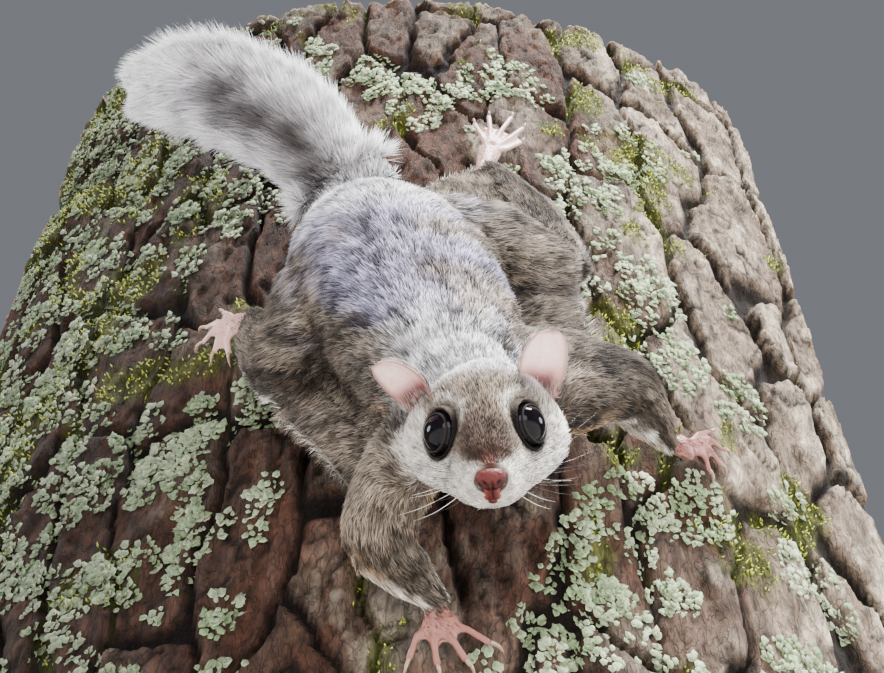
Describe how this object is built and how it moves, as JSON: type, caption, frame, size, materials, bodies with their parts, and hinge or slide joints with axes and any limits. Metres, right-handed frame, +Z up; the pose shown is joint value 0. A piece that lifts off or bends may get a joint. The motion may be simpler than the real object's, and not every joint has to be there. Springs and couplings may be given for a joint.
{
  "type": "flying squirrel",
  "caption": "Life-size still model of a flying squirrel clinging head down to a cut slab of tree trunk, held upright by a flat base and short rods.",
  "frame": {"origin": "centre of the flat underside of the display base", "axes": "+Z up along the trunk, -Y the side that the squirrel clings to, +X towards the animal's left hand"},
  "size_m": [0.25, 0.151, 0.42],
  "materials": {
    "coat_grey": "short dense soft fur, grey brown, pale tipped",
    "coat_pale": "soft pale lilac-grey hair",
    "bare_skin": "thin pink skin, slightly moist",
    "nose_skin": "moist red-pink nose skin",
    "eye": "wet gloss, near black",
    "claw": "horn, satin",
    "whisker": "fine stiff dark hair",
    "bark": "rough dry furrowed bark",
    "sawn_wood": "dry sawn end and back",
    "lichen": "dry leafy lichen and moss",
    "stand_wood": "oiled oak, satin",
    "stand_steel": "brushed"
  },
  "bodies": {
    "root": {"perch_trunk_slab": "bark", "eye_right": "eye", "eye_left": "eye", "nose": "nose_skin", "head": "coat_grey", "torso": "coat_grey", "neck": "coat_grey", "ear_left": "bare_skin", "ear_right": "bare_skin", "thigh_right": "coat_grey", "thigh_left": "coat_grey", "tail_root": "coat_pale", "tail_brush": "coat_pale", "upper_arm_right": "coat_grey", "foot_right": "bare_skin", "hand_right": "bare_skin", "shin_right": "coat_grey", "forearm_right": "coat_grey", "patagium_right": "coat_pale", "upper_arm_left": "coat_grey", "foot_left": "bare_skin", "hand_left": "bare_skin", "shin_left": "coat_grey", "forearm_left": "coat_grey", "patagium_left": "coat_pale", "stand_base": "stand_wood", "stand_rod_left": "stand_steel", "stand_rod_right": "stand_steel"}
  },
  "joints": []
}
